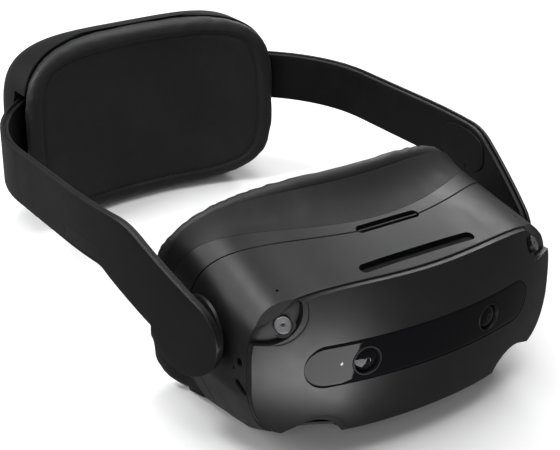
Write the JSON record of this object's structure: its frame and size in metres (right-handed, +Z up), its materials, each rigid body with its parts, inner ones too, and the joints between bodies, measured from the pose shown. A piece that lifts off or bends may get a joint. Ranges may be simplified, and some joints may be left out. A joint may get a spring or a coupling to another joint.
{
  "type": "vr headset",
  "caption": "Stand-alone VR headset: wide visor with front camera window, rigid tilting halo band and a padded battery pack at the back with a fit dial.",
  "frame": {"origin": "on the table, under the middle of the headset's box", "axes": "+X to the wearer's left, +Y from the visor to the back of the head, +Z up"},
  "size_m": [0.2, 0.2764, 0.0997],
  "materials": {
    "shell": "fine matte texture",
    "black_plastic": "matte",
    "window_gloss": "polished",
    "camera_glass": "polished, dark",
    "eye_glass": "polished, coated",
    "steel": "satin",
    "chassis_metal": "cast",
    "circuit_board": "solder mask",
    "battery_wrap": "shrink wrap",
    "light_pipe": "polished",
    "inlay_metal": "satin, blank",
    "pad_skin": "soft matte leatherette"
  },
  "bodies": {
    "visor": {"main_shell": "shell", "rear_shell": "shell", "front_plate": "shell", "camera_window": "window_gloss", "vent_screens": "black_plastic", "colour_camera_left": "black_plastic", "colour_camera_right": "black_plastic", "colour_lens_left": "camera_glass", "colour_lens_right": "camera_glass", "tracking_camera_top_left": "black_plastic", "tracking_camera_top_right": "black_plastic", "tracking_camera_bottom_left": "black_plastic", "tracking_camera_bottom_right": "black_plastic", "tracking_lenses": "camera_glass", "chassis": "chassis_metal", "mainboard": "circuit_board", "heat_sink": "chassis_metal", "fan_housing": "black_plastic", "slide_rods": "steel", "eyepiece_panel": "black_plastic", "proximity_window": "window_gloss", "usb_port": "steel", "audio_jack": "steel", "status_light": "light_pipe", "visor_screws": "steel", "pivot_hub_left": "shell", "pivot_hub_right": "shell"},
    "band": {"arm_left": "shell", "arm_right": "shell", "arm_liner_left": "black_plastic", "arm_liner_right": "black_plastic", "speaker_left": "black_plastic", "speaker_right": "black_plastic", "arm_inlay": "inlay_metal"},
    "pack": {"strap_left": "shell", "strap_right": "shell", "pack_housing": "shell", "pack_tray": "black_plastic", "rear_cushion": "pad_skin", "battery_cells": "battery_wrap", "charge_board": "circuit_board"},
    "dial": {"fit_dial": "black_plastic", "fit_pinion": "steel"},
    "left_rack": {"rack_left": "black_plastic"},
    "right_rack": {"rack_right": "black_plastic"},
    "lens_left": {"lens_barrel_left": "black_plastic", "eye_lens_left": "eye_glass", "display_left": "window_gloss"},
    "lens_right": {"lens_barrel_right": "black_plastic", "eye_lens_right": "eye_glass", "display_right": "window_gloss"},
    "eye_gap_wheel": {"eye_gap_pinion": "steel"},
    "face": {"face_frame": "black_plastic", "face_cushion": "pad_skin", "face_magnets": "steel"},
    "fan": {"fan_rotor": "black_plastic"},
    "power": {"power_button": "black_plastic"},
    "volume_up": {"volume_up_button": "black_plastic"},
    "volume_down": {"volume_down_button": "black_plastic"}
  },
  "joints": [
    {"name": "band_tilt", "type": "hinge", "parent": "visor", "child": "band", "pos_m": [0, -0.0865, 0.04859], "axis": [1, 0, 0], "range_deg": [-8, 22]},
    {"name": "pack_slide", "type": "slide", "parent": "band", "child": "pack", "axis": [0, 0.9962, -0.0872], "range_m": [0, 0.024]},
    {"name": "fit_dial_turn", "type": "hinge", "parent": "pack", "child": "dial", "pos_m": [0, 0.13412, 0.04605], "axis": [0, 0.9962, -0.0872], "range_deg": [0, 229.3]},
    {"name": "rack_left_slide", "type": "slide", "parent": "pack", "child": "left_rack", "axis": [1, 0, 0], "range_m": [0, 0.024]},
    {"name": "rack_right_slide", "type": "slide", "parent": "pack", "child": "right_rack", "axis": [-1, 0, 0], "range_m": [0, 0.024]},
    {"name": "lens_left_slide", "type": "slide", "parent": "visor", "child": "lens_left", "axis": [1, 0, 0], "range_m": [-0.0035, 0.0045]},
    {"name": "lens_right_slide", "type": "slide", "parent": "visor", "child": "lens_right", "axis": [-1, 0, 0], "range_m": [-0.0035, 0.0045]},
    {"name": "eye_gap_turn", "type": "hinge", "parent": "visor", "child": "eye_gap_wheel", "pos_m": [0, -0.09151, 0.07161], "axis": [0, 0.9962, -0.0872], "range_deg": [-47.8, 61.4]},
    {"name": "face_pull", "type": "slide", "parent": "visor", "child": "face", "axis": [0, 0.9962, -0.0872], "range_m": [0, 0.02]},
    {"name": "fan_spin", "type": "hinge", "parent": "visor", "child": "fan", "pos_m": [0, -0.12191, 0.06153], "axis": [0, 0.9962, -0.0872], "continuous": true},
    {"name": "power_press", "type": "slide", "parent": "visor", "child": "power", "axis": [-1, 0, 0], "range_m": [0, 0.0008], "stiffness_N_per_m": 400, "springref_m": -0.0005},
    {"name": "volume_up_press", "type": "slide", "parent": "visor", "child": "volume_up", "axis": [0, 0.0872, 0.9962], "range_m": [0, 0.0005], "stiffness_N_per_m": 400, "springref_m": -0.0005},
    {"name": "volume_down_press", "type": "slide", "parent": "visor", "child": "volume_down", "axis": [0, 0.0872, 0.9962], "range_m": [0, 0.0005], "stiffness_N_per_m": 400, "springref_m": -0.0005}
  ],
  "couplings": [
    {"joint": "fit_dial_turn", "follows": "pack_slide", "rad_per_m": 166.67},
    {"joint": "rack_left_slide", "follows": "pack_slide", "ratio": 1},
    {"joint": "rack_right_slide", "follows": "pack_slide", "ratio": 1},
    {"joint": "lens_right_slide", "follows": "lens_left_slide", "ratio": 1},
    {"joint": "eye_gap_turn", "follows": "lens_left_slide", "rad_per_m": 238.1}
  ]
}
